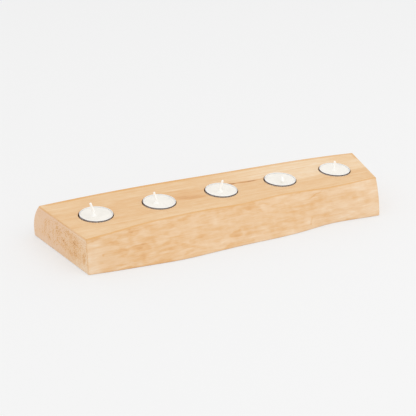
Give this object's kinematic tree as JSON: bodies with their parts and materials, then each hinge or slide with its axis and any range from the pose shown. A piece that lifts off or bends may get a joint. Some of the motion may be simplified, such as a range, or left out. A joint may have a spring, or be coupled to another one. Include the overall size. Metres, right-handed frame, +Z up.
{
  "type": "tea light candle holder",
  "caption": "Live-edge solid wood block with a straight row of round seats, each holding a lift-out tea light in a metal cup; stands flat on a table as an Advent decoration.",
  "frame": {"origin": "on the block's flat underside, below the middle of the row of tea lights", "axes": "+X along the row of tea lights to the right end as seen from the front, +Y to the back, +Z up out of the seats"},
  "size_m": [0.4263, 0.1323, 0.0567],
  "materials": {
    "wood": "pale oiled hardwood, sanded smooth, natural edges",
    "cup_aluminium": "thin drawn foil, satin bright",
    "wax": "off-white paraffin, slightly translucent",
    "wick_tab_steel": "thin tinned sheet",
    "wick_cotton": "waxed braided cotton"
  },
  "bodies": {
    "block": {"wooden_block": "wood"},
    "cup_1": {"tea_light_cup_1": "cup_aluminium"},
    "candle_1": {"candle_wax_1": "wax", "wick_sustainer_1": "wick_tab_steel", "wick_1": "wick_cotton"},
    "cup_2": {"tea_light_cup_2": "cup_aluminium"},
    "candle_2": {"candle_wax_2": "wax", "wick_sustainer_2": "wick_tab_steel", "wick_2": "wick_cotton"},
    "cup_3": {"tea_light_cup_3": "cup_aluminium"},
    "candle_3": {"candle_wax_3": "wax", "wick_sustainer_3": "wick_tab_steel", "wick_3": "wick_cotton"},
    "cup_4": {"tea_light_cup_4": "cup_aluminium"},
    "candle_4": {"candle_wax_4": "wax", "wick_sustainer_4": "wick_tab_steel", "wick_4": "wick_cotton"},
    "cup_5": {"tea_light_cup_5": "cup_aluminium"},
    "candle_5": {"candle_wax_5": "wax", "wick_sustainer_5": "wick_tab_steel", "wick_5": "wick_cotton"}
  },
  "joints": [
    {"name": "tea_light_1_lift", "type": "slide", "parent": "block", "child": "cup_1", "axis": [0, 0, 1], "range_m": [0, 0.045]},
    {"name": "candle_1_lift", "type": "slide", "parent": "cup_1", "child": "candle_1", "axis": [0, 0, 1], "range_m": [0, 0.035]},
    {"name": "tea_light_2_lift", "type": "slide", "parent": "block", "child": "cup_2", "axis": [0, 0, 1], "range_m": [0, 0.045]},
    {"name": "candle_2_lift", "type": "slide", "parent": "cup_2", "child": "candle_2", "axis": [0, 0, 1], "range_m": [0, 0.035]},
    {"name": "tea_light_3_lift", "type": "slide", "parent": "block", "child": "cup_3", "axis": [0, 0, 1], "range_m": [0, 0.045]},
    {"name": "candle_3_lift", "type": "slide", "parent": "cup_3", "child": "candle_3", "axis": [0, 0, 1], "range_m": [0, 0.035]},
    {"name": "tea_light_4_lift", "type": "slide", "parent": "block", "child": "cup_4", "axis": [0, 0, 1], "range_m": [0, 0.045]},
    {"name": "candle_4_lift", "type": "slide", "parent": "cup_4", "child": "candle_4", "axis": [0, 0, 1], "range_m": [0, 0.035]},
    {"name": "tea_light_5_lift", "type": "slide", "parent": "block", "child": "cup_5", "axis": [0, 0, 1], "range_m": [0, 0.045]},
    {"name": "candle_5_lift", "type": "slide", "parent": "cup_5", "child": "candle_5", "axis": [0, 0, 1], "range_m": [0, 0.035]}
  ]
}
